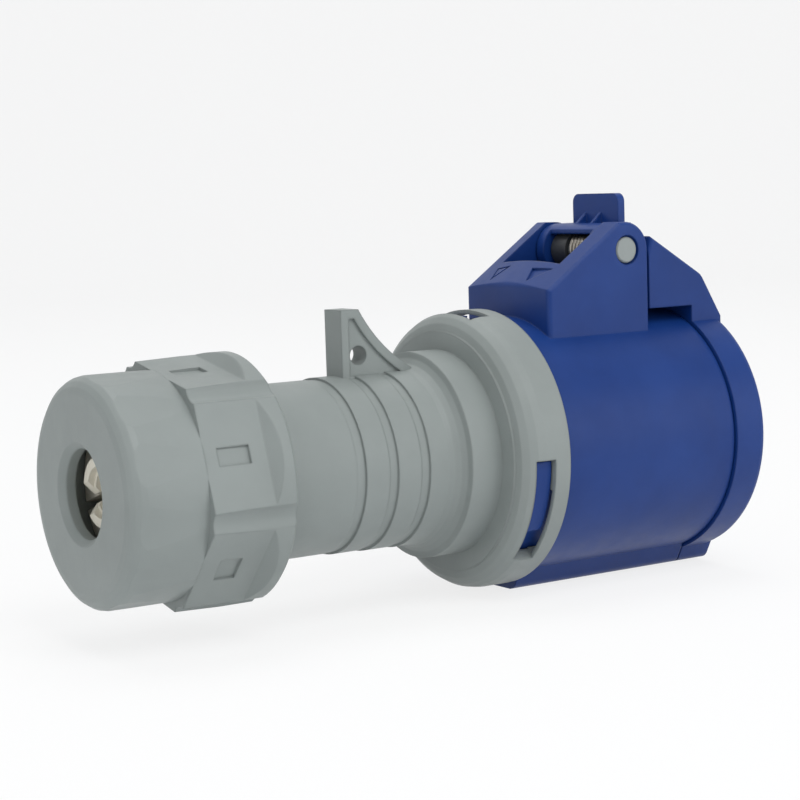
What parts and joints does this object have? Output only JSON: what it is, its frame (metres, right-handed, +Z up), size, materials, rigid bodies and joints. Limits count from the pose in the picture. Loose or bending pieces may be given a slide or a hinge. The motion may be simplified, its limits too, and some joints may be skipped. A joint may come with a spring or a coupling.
{
  "type": "pin and sleeve connector",
  "caption": "Cable-mounted female pin and sleeve connector with a sprung hinged lid, a keyed sleeve, a bayonet rear housing with a hanging fin and a clamping cable gland.",
  "frame": {"origin": "on the connector's axis, in the face of the contact insert", "axes": "+X along the axis out of the socket's mouth, +Z up towards the lid's hinge, keyway at the bottom (-Z)"},
  "size_m": [0.1447, 0.057, 0.0804],
  "materials": {
    "blue_plastic": "satin moulded",
    "grey_plastic": "fine moulded",
    "pin_grey": "smooth",
    "dark_plastic": "smooth",
    "carrier_plastic": "moulded",
    "cream_plastic": "moulded",
    "rubber": "soft",
    "brass": "machined",
    "spring_steel": "drawn wire",
    "screw_steel": "zinc plated"
  },
  "bodies": {
    "front": {"front_housing": "blue_plastic", "hinge_pin": "pin_grey", "lid_spring": "spring_steel", "spring_sleeve": "dark_plastic", "housing_seal": "rubber", "carrier": "carrier_plastic", "contact_line": "brass", "contact_neutral": "brass", "contact_earth": "brass", "ring_line": "spring_steel", "ring_neutral": "spring_steel", "ring_earth": "spring_steel", "screw_line": "screw_steel", "screw_neutral": "screw_steel", "screw_earth": "screw_steel", "retainer": "carrier_plastic", "retainer_screw": "screw_steel"},
    "cover": {"lid": "blue_plastic", "lid_seal": "rubber"},
    "rear": {"rear_housing": "grey_plastic", "cable_seal": "rubber", "slip_washer": "cream_plastic"},
    "clamp": {"clamp_ring": "dark_plastic"},
    "nut": {"gland_nut": "grey_plastic"},
    "upper_jaw": {"jaw_upper": "cream_plastic"},
    "lower_jaw": {"jaw_lower": "cream_plastic"}
  },
  "joints": [
    {"name": "lid_hinge", "type": "hinge", "parent": "front", "child": "cover", "pos_m": [-0.0191, 0, 0.0395], "axis": [0, -1, 0], "range_deg": [0, 100], "stiffness_Nm_per_rad": 0.02, "springref_deg": -57.3},
    {"name": "rear_turn", "type": "hinge", "parent": "front", "child": "rear", "pos_m": [-0.052, 0, 0], "axis": [1, 0, 0], "range_deg": [-13, 0]},
    {"name": "clamp_slide", "type": "slide", "parent": "rear", "child": "clamp", "axis": [1, 0, 0], "range_m": [-0.005, 0]},
    {"name": "nut_turn", "type": "hinge", "parent": "clamp", "child": "nut", "pos_m": [-0.12, 0, 0], "axis": [1, 0, 0], "range_deg": [-720, 0]},
    {"name": "upper_jaw_slide", "type": "slide", "parent": "rear", "child": "upper_jaw", "axis": [0, 0.319, 0.9478], "range_m": [0, 0.00203]},
    {"name": "lower_jaw_slide", "type": "slide", "parent": "rear", "child": "lower_jaw", "axis": [0, -0.319, -0.9478], "range_m": [0, 0.00203]}
  ],
  "couplings": [
    {"joint": "clamp_slide", "follows": "nut_turn", "m_per_rad": 0.00039779},
    {"joint": "upper_jaw_slide", "follows": "nut_turn", "m_per_rad": -0.00016076},
    {"joint": "lower_jaw_slide", "follows": "nut_turn", "m_per_rad": -0.00016076}
  ]
}
